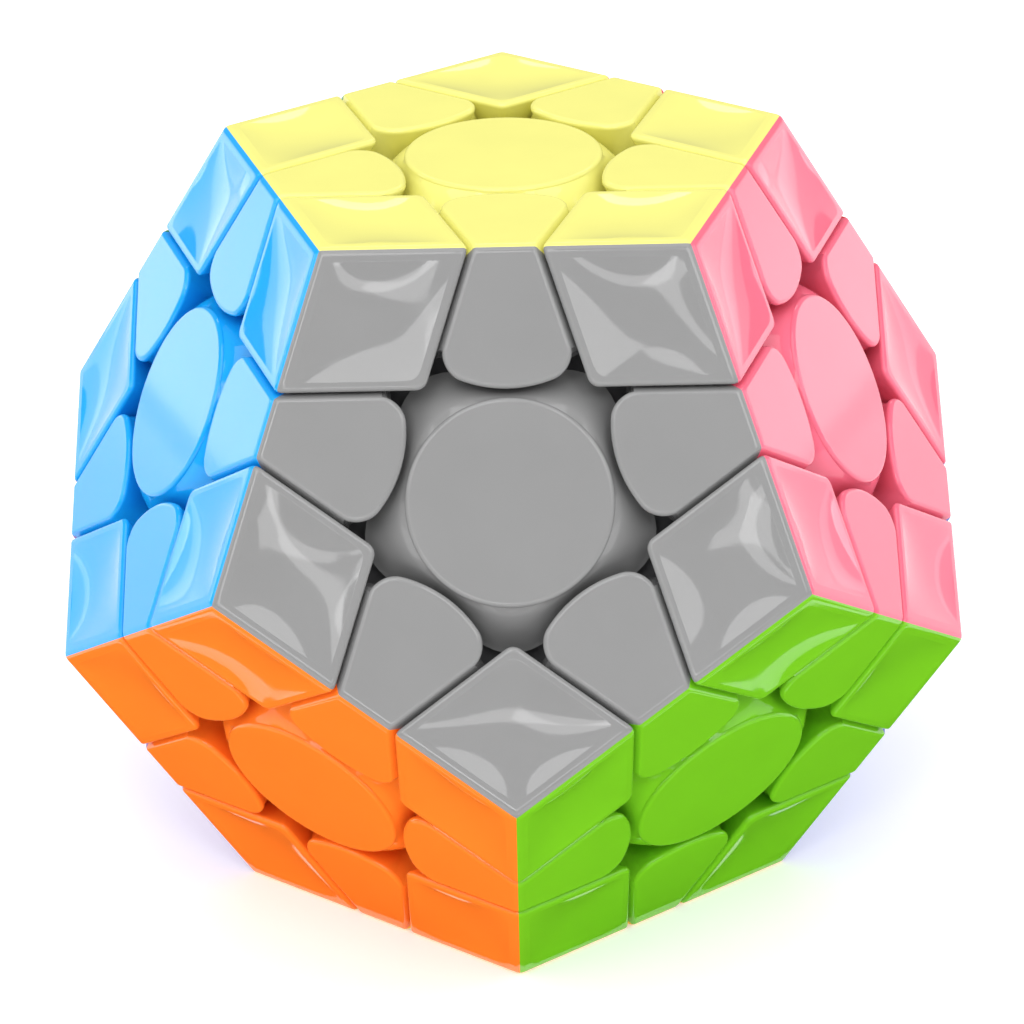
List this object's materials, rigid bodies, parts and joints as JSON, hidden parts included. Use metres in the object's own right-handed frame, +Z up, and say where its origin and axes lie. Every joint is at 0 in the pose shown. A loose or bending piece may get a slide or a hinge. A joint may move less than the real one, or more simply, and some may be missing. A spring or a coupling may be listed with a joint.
{
  "type": "dodecahedron twisty puzzle",
  "caption": "Dodecahedron twisty puzzle: face layers of dished corners, edges and round centres turn on a sprung core, in glossy coloured plastic.",
  "frame": {"origin": "middle of the core, where the turning axes of all the faces meet", "axes": "+Z up, along the axis of the cream top face; -Z through the yellow face that the puzzle rests on; -Y towards the grey front face"},
  "size_m": [0.0812, 0.0854, 0.069],
  "materials": {
    "cream_abs": "injection-moulded, polished",
    "grey_abs": "injection-moulded, polished",
    "pink_abs": "injection-moulded, polished",
    "red_abs": "injection-moulded, polished",
    "green_abs": "injection-moulded, polished",
    "sky_abs": "injection-moulded, polished",
    "white_abs": "injection-moulded, polished",
    "purple_abs": "injection-moulded, polished",
    "orange_abs": "injection-moulded, polished",
    "lime_abs": "injection-moulded, polished",
    "blue_abs": "injection-moulded, polished",
    "yellow_abs": "injection-moulded, polished",
    "inner_abs": "injection-moulded, satin",
    "zinc_plated_steel": "zinc-plated",
    "spring_steel": "drawn wire"
  },
  "bodies": {
    "core_and_bottom_centre": {"core": "inner_abs", "centre_screws": "zinc_plated_steel", "centre_springs": "spring_steel", "centre_yellow": "yellow_abs"},
    "cream_centre": {"centre_cream": "cream_abs"},
    "grey_centre": {"centre_grey": "grey_abs"},
    "pink_centre": {"centre_pink": "pink_abs"},
    "red_centre": {"centre_red": "red_abs"},
    "green_centre": {"centre_green": "green_abs"},
    "sky_centre": {"centre_sky": "sky_abs"},
    "white_centre": {"centre_white_with_bottom_edge": "white_abs"},
    "purple_centre": {"centre_purple_with_bottom_edge": "purple_abs"},
    "orange_centre": {"centre_orange_with_bottom_edge": "orange_abs"},
    "lime_centre": {"centre_lime_with_bottom_edge": "lime_abs"},
    "blue_centre": {"centre_blue_with_bottom_edge": "blue_abs"},
    "edge_cream_grey_piece": {"edge_cream_grey": "cream_abs"},
    "edge_cream_pink_piece": {"edge_cream_pink": "cream_abs"},
    "edge_cream_red_piece": {"edge_cream_red": "cream_abs"},
    "edge_cream_green_piece": {"edge_cream_green": "cream_abs"},
    "edge_cream_sky_piece": {"edge_cream_sky": "cream_abs"},
    "edge_grey_pink_piece": {"edge_grey_pink": "grey_abs"},
    "edge_grey_sky_piece": {"edge_grey_sky": "grey_abs"},
    "edge_grey_orange_piece": {"edge_grey_orange": "grey_abs"},
    "edge_grey_lime_piece": {"edge_grey_lime": "grey_abs"},
    "edge_pink_red_piece": {"edge_pink_red": "pink_abs"},
    "edge_pink_lime_piece": {"edge_pink_lime": "pink_abs"},
    "edge_pink_blue_piece": {"edge_pink_blue": "pink_abs"},
    "edge_red_green_piece": {"edge_red_green": "red_abs"},
    "edge_red_white_piece": {"edge_red_white": "red_abs"},
    "edge_red_blue_piece": {"edge_red_blue": "red_abs"},
    "edge_green_sky_piece": {"edge_green_sky": "green_abs"},
    "edge_green_white_piece": {"edge_green_white": "green_abs"},
    "edge_green_purple_piece": {"edge_green_purple": "green_abs"},
    "edge_sky_purple_piece": {"edge_sky_purple": "sky_abs"},
    "edge_sky_orange_piece": {"edge_sky_orange": "sky_abs"},
    "edge_white_purple_piece": {"edge_white_purple": "white_abs"},
    "edge_white_blue_piece": {"edge_white_blue": "white_abs"},
    "edge_purple_orange_piece": {"edge_purple_orange": "purple_abs"},
    "edge_orange_lime_piece": {"edge_orange_lime": "orange_abs"},
    "edge_lime_blue_piece": {"edge_lime_blue": "lime_abs"},
    "corner_cream_grey_pink_piece": {"corner_cream_grey_pink": "cream_abs"},
    "corner_cream_grey_sky_piece": {"corner_cream_grey_sky": "cream_abs"},
    "corner_cream_pink_red_piece": {"corner_cream_pink_red": "cream_abs"},
    "corner_cream_red_green_piece": {"corner_cream_red_green": "cream_abs"},
    "corner_cream_green_sky_piece": {"corner_cream_green_sky": "cream_abs"},
    "corner_grey_pink_lime_piece": {"corner_grey_pink_lime": "grey_abs"},
    "corner_grey_sky_orange_piece": {"corner_grey_sky_orange": "grey_abs"},
    "corner_grey_orange_lime_piece": {"corner_grey_orange_lime": "grey_abs"},
    "corner_pink_red_blue_piece": {"corner_pink_red_blue": "pink_abs"},
    "corner_pink_lime_blue_piece": {"corner_pink_lime_blue": "pink_abs"},
    "corner_red_green_white_piece": {"corner_red_green_white": "red_abs"},
    "corner_red_white_blue_piece": {"corner_red_white_blue": "red_abs"},
    "corner_green_sky_purple_piece": {"corner_green_sky_purple": "green_abs"},
    "corner_green_white_purple_piece": {"corner_green_white_purple": "green_abs"},
    "corner_sky_purple_orange_piece": {"corner_sky_purple_orange": "sky_abs"},
    "corner_yellow_white_purple_piece": {"corner_yellow_white_purple": "yellow_abs"},
    "corner_yellow_white_blue_piece": {"corner_yellow_white_blue": "yellow_abs"},
    "corner_yellow_purple_orange_piece": {"corner_yellow_purple_orange": "yellow_abs"},
    "corner_yellow_orange_lime_piece": {"corner_yellow_orange_lime": "yellow_abs"},
    "corner_yellow_lime_blue_piece": {"corner_yellow_lime_blue": "yellow_abs"}
  },
  "joints": [
    {"name": "cream_turn", "type": "hinge", "parent": "core_and_bottom_centre", "child": "cream_centre", "pos_m": [0, 0, 0], "axis": [0, 0, 1], "range_deg": [-72, 144]},
    {"name": "grey_turn", "type": "hinge", "parent": "core_and_bottom_centre", "child": "grey_centre", "pos_m": [0, 0, 0], "axis": [0, -0.8944, 0.4472], "range_deg": [-72, 144]},
    {"name": "pink_turn", "type": "hinge", "parent": "core_and_bottom_centre", "child": "pink_centre", "pos_m": [0, 0, 0], "axis": [0.8507, -0.2764, 0.4472], "range_deg": [-72, 144]},
    {"name": "red_turn", "type": "hinge", "parent": "core_and_bottom_centre", "child": "red_centre", "pos_m": [0, 0, 0], "axis": [0.5257, 0.7236, 0.4472], "range_deg": [-72, 144]},
    {"name": "green_turn", "type": "hinge", "parent": "core_and_bottom_centre", "child": "green_centre", "pos_m": [0, 0, 0], "axis": [-0.5257, 0.7236, 0.4472], "range_deg": [-72, 144]},
    {"name": "sky_turn", "type": "hinge", "parent": "core_and_bottom_centre", "child": "sky_centre", "pos_m": [0, 0, 0], "axis": [-0.8507, -0.2764, 0.4472], "range_deg": [-72, 144]},
    {"name": "white_turn", "type": "hinge", "parent": "core_and_bottom_centre", "child": "white_centre", "pos_m": [0, 0, 0], "axis": [0, 0.8944, -0.4472], "range_deg": [-72, 144]},
    {"name": "purple_turn", "type": "hinge", "parent": "core_and_bottom_centre", "child": "purple_centre", "pos_m": [0, 0, 0], "axis": [-0.8507, 0.2764, -0.4472], "range_deg": [-72, 144]},
    {"name": "orange_turn", "type": "hinge", "parent": "core_and_bottom_centre", "child": "orange_centre", "pos_m": [0, 0, 0], "axis": [-0.5257, -0.7236, -0.4472], "range_deg": [-72, 144]},
    {"name": "lime_turn", "type": "hinge", "parent": "core_and_bottom_centre", "child": "lime_centre", "pos_m": [0, 0, 0], "axis": [0.5257, -0.7236, -0.4472], "range_deg": [-72, 144]},
    {"name": "blue_turn", "type": "hinge", "parent": "core_and_bottom_centre", "child": "blue_centre", "pos_m": [0, 0, 0], "axis": [0.8507, 0.2764, -0.4472], "range_deg": [-72, 144]},
    {"name": "edge_cream_grey_round_cream", "type": "hinge", "parent": "grey_centre", "child": "edge_cream_grey_piece", "pos_m": [0, 0, 0], "axis": [0, 0, 1], "range_deg": [-72, 144]},
    {"name": "edge_cream_pink_round_cream", "type": "hinge", "parent": "pink_centre", "child": "edge_cream_pink_piece", "pos_m": [0, 0, 0], "axis": [0, 0, 1], "range_deg": [-72, 144]},
    {"name": "edge_cream_red_round_cream", "type": "hinge", "parent": "red_centre", "child": "edge_cream_red_piece", "pos_m": [0, 0, 0], "axis": [0, 0, 1], "range_deg": [-72, 144]},
    {"name": "edge_cream_green_round_cream", "type": "hinge", "parent": "green_centre", "child": "edge_cream_green_piece", "pos_m": [0, 0, 0], "axis": [0, 0, 1], "range_deg": [-72, 144]},
    {"name": "edge_cream_sky_round_cream", "type": "hinge", "parent": "sky_centre", "child": "edge_cream_sky_piece", "pos_m": [0, 0, 0], "axis": [0, 0, 1], "range_deg": [-72, 144]},
    {"name": "edge_grey_pink_round_pink", "type": "hinge", "parent": "grey_centre", "child": "edge_grey_pink_piece", "pos_m": [0, 0, 0], "axis": [0.8507, -0.2764, 0.4472], "range_deg": [-72, 144]},
    {"name": "edge_grey_sky_round_grey", "type": "hinge", "parent": "sky_centre", "child": "edge_grey_sky_piece", "pos_m": [0, 0, 0], "axis": [0, -0.8944, 0.4472], "range_deg": [-72, 144]},
    {"name": "edge_grey_orange_round_orange", "type": "hinge", "parent": "grey_centre", "child": "edge_grey_orange_piece", "pos_m": [0, 0, 0], "axis": [-0.5257, -0.7236, -0.4472], "range_deg": [-72, 144]},
    {"name": "edge_grey_lime_round_grey", "type": "hinge", "parent": "lime_centre", "child": "edge_grey_lime_piece", "pos_m": [0, 0, 0], "axis": [0, -0.8944, 0.4472], "range_deg": [-72, 144]},
    {"name": "edge_pink_red_round_red", "type": "hinge", "parent": "pink_centre", "child": "edge_pink_red_piece", "pos_m": [0, 0, 0], "axis": [0.5257, 0.7236, 0.4472], "range_deg": [-72, 144]},
    {"name": "edge_pink_lime_round_lime", "type": "hinge", "parent": "pink_centre", "child": "edge_pink_lime_piece", "pos_m": [0, 0, 0], "axis": [0.5257, -0.7236, -0.4472], "range_deg": [-72, 144]},
    {"name": "edge_pink_blue_round_pink", "type": "hinge", "parent": "blue_centre", "child": "edge_pink_blue_piece", "pos_m": [0, 0, 0], "axis": [0.8507, -0.2764, 0.4472], "range_deg": [-72, 144]},
    {"name": "edge_red_green_round_green", "type": "hinge", "parent": "red_centre", "child": "edge_red_green_piece", "pos_m": [0, 0, 0], "axis": [-0.5257, 0.7236, 0.4472], "range_deg": [-72, 144]},
    {"name": "edge_red_white_round_red", "type": "hinge", "parent": "white_centre", "child": "edge_red_white_piece", "pos_m": [0, 0, 0], "axis": [0.5257, 0.7236, 0.4472], "range_deg": [-72, 144]},
    {"name": "edge_red_blue_round_blue", "type": "hinge", "parent": "red_centre", "child": "edge_red_blue_piece", "pos_m": [0, 0, 0], "axis": [0.8507, 0.2764, -0.4472], "range_deg": [-72, 144]},
    {"name": "edge_green_sky_round_sky", "type": "hinge", "parent": "green_centre", "child": "edge_green_sky_piece", "pos_m": [0, 0, 0], "axis": [-0.8507, -0.2764, 0.4472], "range_deg": [-72, 144]},
    {"name": "edge_green_white_round_white", "type": "hinge", "parent": "green_centre", "child": "edge_green_white_piece", "pos_m": [0, 0, 0], "axis": [0, 0.8944, -0.4472], "range_deg": [-72, 144]},
    {"name": "edge_green_purple_round_green", "type": "hinge", "parent": "purple_centre", "child": "edge_green_purple_piece", "pos_m": [0, 0, 0], "axis": [-0.5257, 0.7236, 0.4472], "range_deg": [-72, 144]},
    {"name": "edge_sky_purple_round_purple", "type": "hinge", "parent": "sky_centre", "child": "edge_sky_purple_piece", "pos_m": [0, 0, 0], "axis": [-0.8507, 0.2764, -0.4472], "range_deg": [-72, 144]},
    {"name": "edge_sky_orange_round_sky", "type": "hinge", "parent": "orange_centre", "child": "edge_sky_orange_piece", "pos_m": [0, 0, 0], "axis": [-0.8507, -0.2764, 0.4472], "range_deg": [-72, 144]},
    {"name": "edge_white_purple_round_purple", "type": "hinge", "parent": "white_centre", "child": "edge_white_purple_piece", "pos_m": [0, 0, 0], "axis": [-0.8507, 0.2764, -0.4472], "range_deg": [-72, 144]},
    {"name": "edge_white_blue_round_white", "type": "hinge", "parent": "blue_centre", "child": "edge_white_blue_piece", "pos_m": [0, 0, 0], "axis": [0, 0.8944, -0.4472], "range_deg": [-72, 144]},
    {"name": "edge_purple_orange_round_orange", "type": "hinge", "parent": "purple_centre", "child": "edge_purple_orange_piece", "pos_m": [0, 0, 0], "axis": [-0.5257, -0.7236, -0.4472], "range_deg": [-72, 144]},
    {"name": "edge_orange_lime_round_lime", "type": "hinge", "parent": "orange_centre", "child": "edge_orange_lime_piece", "pos_m": [0, 0, 0], "axis": [0.5257, -0.7236, -0.4472], "range_deg": [-72, 144]},
    {"name": "edge_lime_blue_round_blue", "type": "hinge", "parent": "lime_centre", "child": "edge_lime_blue_piece", "pos_m": [0, 0, 0], "axis": [0.8507, 0.2764, -0.4472], "range_deg": [-72, 144]},
    {"name": "corner_cream_grey_pink_round_pink", "type": "hinge", "parent": "edge_cream_grey_piece", "child": "corner_cream_grey_pink_piece", "pos_m": [0, 0, 0], "axis": [0.8507, -0.2764, 0.4472], "range_deg": [-72, 144]},
    {"name": "corner_cream_grey_sky_round_grey", "type": "hinge", "parent": "edge_cream_sky_piece", "child": "corner_cream_grey_sky_piece", "pos_m": [0, 0, 0], "axis": [0, -0.8944, 0.4472], "range_deg": [-72, 144]},
    {"name": "corner_cream_pink_red_round_red", "type": "hinge", "parent": "edge_cream_pink_piece", "child": "corner_cream_pink_red_piece", "pos_m": [0, 0, 0], "axis": [0.5257, 0.7236, 0.4472], "range_deg": [-72, 144]},
    {"name": "corner_cream_red_green_round_green", "type": "hinge", "parent": "edge_cream_red_piece", "child": "corner_cream_red_green_piece", "pos_m": [0, 0, 0], "axis": [-0.5257, 0.7236, 0.4472], "range_deg": [-72, 144]},
    {"name": "corner_cream_green_sky_round_sky", "type": "hinge", "parent": "edge_cream_green_piece", "child": "corner_cream_green_sky_piece", "pos_m": [0, 0, 0], "axis": [-0.8507, -0.2764, 0.4472], "range_deg": [-72, 144]},
    {"name": "corner_grey_pink_lime_round_grey", "type": "hinge", "parent": "edge_pink_lime_piece", "child": "corner_grey_pink_lime_piece", "pos_m": [0, 0, 0], "axis": [0, -0.8944, 0.4472], "range_deg": [-72, 144]},
    {"name": "corner_grey_sky_orange_round_sky", "type": "hinge", "parent": "edge_grey_orange_piece", "child": "corner_grey_sky_orange_piece", "pos_m": [0, 0, 0], "axis": [-0.8507, -0.2764, 0.4472], "range_deg": [-72, 144]},
    {"name": "corner_grey_orange_lime_round_grey", "type": "hinge", "parent": "edge_orange_lime_piece", "child": "corner_grey_orange_lime_piece", "pos_m": [0, 0, 0], "axis": [0, -0.8944, 0.4472], "range_deg": [-72, 144]},
    {"name": "corner_pink_red_blue_round_pink", "type": "hinge", "parent": "edge_red_blue_piece", "child": "corner_pink_red_blue_piece", "pos_m": [0, 0, 0], "axis": [0.8507, -0.2764, 0.4472], "range_deg": [-72, 144]},
    {"name": "corner_pink_lime_blue_round_pink", "type": "hinge", "parent": "edge_lime_blue_piece", "child": "corner_pink_lime_blue_piece", "pos_m": [0, 0, 0], "axis": [0.8507, -0.2764, 0.4472], "range_deg": [-72, 144]},
    {"name": "corner_red_green_white_round_red", "type": "hinge", "parent": "edge_green_white_piece", "child": "corner_red_green_white_piece", "pos_m": [0, 0, 0], "axis": [0.5257, 0.7236, 0.4472], "range_deg": [-72, 144]},
    {"name": "corner_red_white_blue_round_red", "type": "hinge", "parent": "edge_white_blue_piece", "child": "corner_red_white_blue_piece", "pos_m": [0, 0, 0], "axis": [0.5257, 0.7236, 0.4472], "range_deg": [-72, 144]},
    {"name": "corner_green_sky_purple_round_green", "type": "hinge", "parent": "edge_sky_purple_piece", "child": "corner_green_sky_purple_piece", "pos_m": [0, 0, 0], "axis": [-0.5257, 0.7236, 0.4472], "range_deg": [-72, 144]},
    {"name": "corner_green_white_purple_round_green", "type": "hinge", "parent": "edge_white_purple_piece", "child": "corner_green_white_purple_piece", "pos_m": [0, 0, 0], "axis": [-0.5257, 0.7236, 0.4472], "range_deg": [-72, 144]},
    {"name": "corner_sky_purple_orange_round_sky", "type": "hinge", "parent": "edge_purple_orange_piece", "child": "corner_sky_purple_orange_piece", "pos_m": [0, 0, 0], "axis": [-0.8507, -0.2764, 0.4472], "range_deg": [-72, 144]},
    {"name": "corner_yellow_white_purple_round_purple", "type": "hinge", "parent": "white_centre", "child": "corner_yellow_white_purple_piece", "pos_m": [0, 0, 0], "axis": [-0.8507, 0.2764, -0.4472], "range_deg": [-72, 144]},
    {"name": "corner_yellow_white_blue_round_white", "type": "hinge", "parent": "blue_centre", "child": "corner_yellow_white_blue_piece", "pos_m": [0, 0, 0], "axis": [0, 0.8944, -0.4472], "range_deg": [-72, 144]},
    {"name": "corner_yellow_purple_orange_round_orange", "type": "hinge", "parent": "purple_centre", "child": "corner_yellow_purple_orange_piece", "pos_m": [0, 0, 0], "axis": [-0.5257, -0.7236, -0.4472], "range_deg": [-72, 144]},
    {"name": "corner_yellow_orange_lime_round_lime", "type": "hinge", "parent": "orange_centre", "child": "corner_yellow_orange_lime_piece", "pos_m": [0, 0, 0], "axis": [0.5257, -0.7236, -0.4472], "range_deg": [-72, 144]},
    {"name": "corner_yellow_lime_blue_round_blue", "type": "hinge", "parent": "lime_centre", "child": "corner_yellow_lime_blue_piece", "pos_m": [0, 0, 0], "axis": [0.8507, 0.2764, -0.4472], "range_deg": [-72, 144]}
  ],
  "couplings": [
    {"joint": "edge_cream_grey_round_cream", "follows": "cream_turn", "ratio": 1},
    {"joint": "edge_cream_pink_round_cream", "follows": "cream_turn", "ratio": 1},
    {"joint": "edge_cream_red_round_cream", "follows": "cream_turn", "ratio": 1},
    {"joint": "edge_cream_green_round_cream", "follows": "cream_turn", "ratio": 1},
    {"joint": "edge_cream_sky_round_cream", "follows": "cream_turn", "ratio": 1},
    {"joint": "edge_grey_pink_round_pink", "follows": "pink_turn", "ratio": 1},
    {"joint": "edge_grey_sky_round_grey", "follows": "grey_turn", "ratio": 1},
    {"joint": "edge_grey_orange_round_orange", "follows": "orange_turn", "ratio": 1},
    {"joint": "edge_grey_lime_round_grey", "follows": "grey_turn", "ratio": 1},
    {"joint": "edge_pink_red_round_red", "follows": "red_turn", "ratio": 1},
    {"joint": "edge_pink_lime_round_lime", "follows": "lime_turn", "ratio": 1},
    {"joint": "edge_pink_blue_round_pink", "follows": "pink_turn", "ratio": 1},
    {"joint": "edge_red_green_round_green", "follows": "green_turn", "ratio": 1},
    {"joint": "edge_red_white_round_red", "follows": "red_turn", "ratio": 1},
    {"joint": "edge_red_blue_round_blue", "follows": "blue_turn", "ratio": 1},
    {"joint": "edge_green_sky_round_sky", "follows": "sky_turn", "ratio": 1},
    {"joint": "edge_green_white_round_white", "follows": "white_turn", "ratio": 1},
    {"joint": "edge_green_purple_round_green", "follows": "green_turn", "ratio": 1},
    {"joint": "edge_sky_purple_round_purple", "follows": "purple_turn", "ratio": 1},
    {"joint": "edge_sky_orange_round_sky", "follows": "sky_turn", "ratio": 1},
    {"joint": "edge_white_purple_round_purple", "follows": "purple_turn", "ratio": 1},
    {"joint": "edge_white_blue_round_white", "follows": "white_turn", "ratio": 1},
    {"joint": "edge_purple_orange_round_orange", "follows": "orange_turn", "ratio": 1},
    {"joint": "edge_orange_lime_round_lime", "follows": "lime_turn", "ratio": 1},
    {"joint": "edge_lime_blue_round_blue", "follows": "blue_turn", "ratio": 1},
    {"joint": "corner_cream_grey_pink_round_pink", "follows": "pink_turn", "ratio": 1},
    {"joint": "corner_cream_grey_sky_round_grey", "follows": "grey_turn", "ratio": 1},
    {"joint": "corner_cream_pink_red_round_red", "follows": "red_turn", "ratio": 1},
    {"joint": "corner_cream_red_green_round_green", "follows": "green_turn", "ratio": 1},
    {"joint": "corner_cream_green_sky_round_sky", "follows": "sky_turn", "ratio": 1},
    {"joint": "corner_grey_pink_lime_round_grey", "follows": "grey_turn", "ratio": 1},
    {"joint": "corner_grey_sky_orange_round_sky", "follows": "sky_turn", "ratio": 1},
    {"joint": "corner_grey_orange_lime_round_grey", "follows": "grey_turn", "ratio": 1},
    {"joint": "corner_pink_red_blue_round_pink", "follows": "pink_turn", "ratio": 1},
    {"joint": "corner_pink_lime_blue_round_pink", "follows": "pink_turn", "ratio": 1},
    {"joint": "corner_red_green_white_round_red", "follows": "red_turn", "ratio": 1},
    {"joint": "corner_red_white_blue_round_red", "follows": "red_turn", "ratio": 1},
    {"joint": "corner_green_sky_purple_round_green", "follows": "green_turn", "ratio": 1},
    {"joint": "corner_green_white_purple_round_green", "follows": "green_turn", "ratio": 1},
    {"joint": "corner_sky_purple_orange_round_sky", "follows": "sky_turn", "ratio": 1},
    {"joint": "corner_yellow_white_purple_round_purple", "follows": "purple_turn", "ratio": 1},
    {"joint": "corner_yellow_white_blue_round_white", "follows": "white_turn", "ratio": 1},
    {"joint": "corner_yellow_purple_orange_round_orange", "follows": "orange_turn", "ratio": 1},
    {"joint": "corner_yellow_orange_lime_round_lime", "follows": "lime_turn", "ratio": 1},
    {"joint": "corner_yellow_lime_blue_round_blue", "follows": "blue_turn", "ratio": 1}
  ]
}
